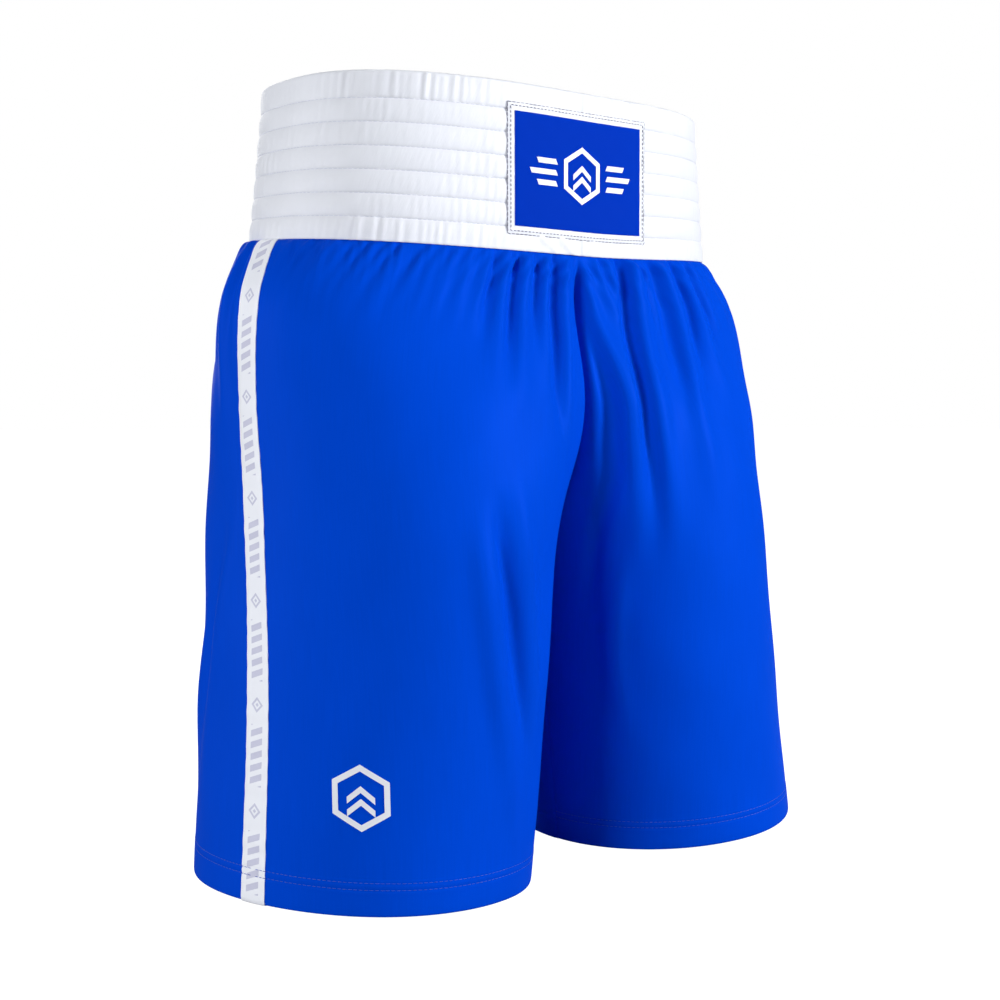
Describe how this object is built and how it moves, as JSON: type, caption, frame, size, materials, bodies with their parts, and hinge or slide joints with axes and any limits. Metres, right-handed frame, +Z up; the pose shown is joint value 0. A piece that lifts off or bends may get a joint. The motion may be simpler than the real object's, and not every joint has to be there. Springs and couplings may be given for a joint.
{
  "type": "boxing shorts",
  "caption": "Loose knee-length sports shorts with a deep channelled elastic waistband, front patch, side tapes and stitched hems; each leg swings at the hip.",
  "frame": {"origin": "centre of the waistband's top rim, where the wearer's waist holds the shorts", "axes": "+Z up along the body, -Y the front, -X the wearer's right"},
  "size_m": [0.4516, 0.2571, 0.5083],
  "materials": {
    "blue_knit": "satin knit polyester with a soft sheen",
    "waistband_cloth": "white satin polyester, puffed between the stitch rows",
    "elastic": "woven elastic",
    "white_thread": "polyester sewing thread",
    "blue_thread": "polyester sewing thread",
    "grey_thread": "polyester sewing thread",
    "side_ribbon": "white satin ribbon with a grey woven pattern",
    "patch_white": "white satin backing",
    "patch_blue": "blue woven face",
    "white_print": "heat-pressed white film",
    "label_cloth": "white woven tape"
  },
  "bodies": {
    "hips": {"waistband_cover": "waistband_cloth", "waistband_elastic": "elastic", "waistband_stitch_1": "white_thread", "waistband_stitch_2": "white_thread", "waistband_stitch_3": "white_thread", "waistband_stitch_4": "white_thread", "waistband_stitch_5": "white_thread", "waistband_stitch_6": "white_thread", "patch_backing": "patch_white", "patch_face": "patch_blue", "patch_stitching": "grey_thread", "care_label": "label_cloth", "front_panel_right_hip": "blue_knit", "front_panel_left_hip": "blue_knit", "back_panel_right_hip": "blue_knit", "back_panel_left_hip": "blue_knit", "side_tape_right_hip": "side_ribbon", "side_tape_left_hip": "side_ribbon"},
    "right_leg": {"front_panel_right_leg": "blue_knit", "back_panel_right_leg": "blue_knit", "side_tape_right_leg": "side_ribbon", "hem_stitch_right_upper": "blue_thread", "hem_stitch_right_lower": "blue_thread", "leg_emblem": "white_print"},
    "left_leg": {"front_panel_left_leg": "blue_knit", "back_panel_left_leg": "blue_knit", "side_tape_left_leg": "side_ribbon", "hem_stitch_left_upper": "blue_thread", "hem_stitch_left_lower": "blue_thread"}
  },
  "joints": [
    {"name": "right_hip", "type": "hinge", "parent": "hips", "child": "right_leg", "pos_m": [-0.0995, -0.004, -0.19], "axis": [-1, 0, 0], "range_deg": [-15, 45]},
    {"name": "left_hip", "type": "hinge", "parent": "hips", "child": "left_leg", "pos_m": [0.0995, -0.004, -0.19], "axis": [-1, 0, 0], "range_deg": [-15, 45]}
  ]
}
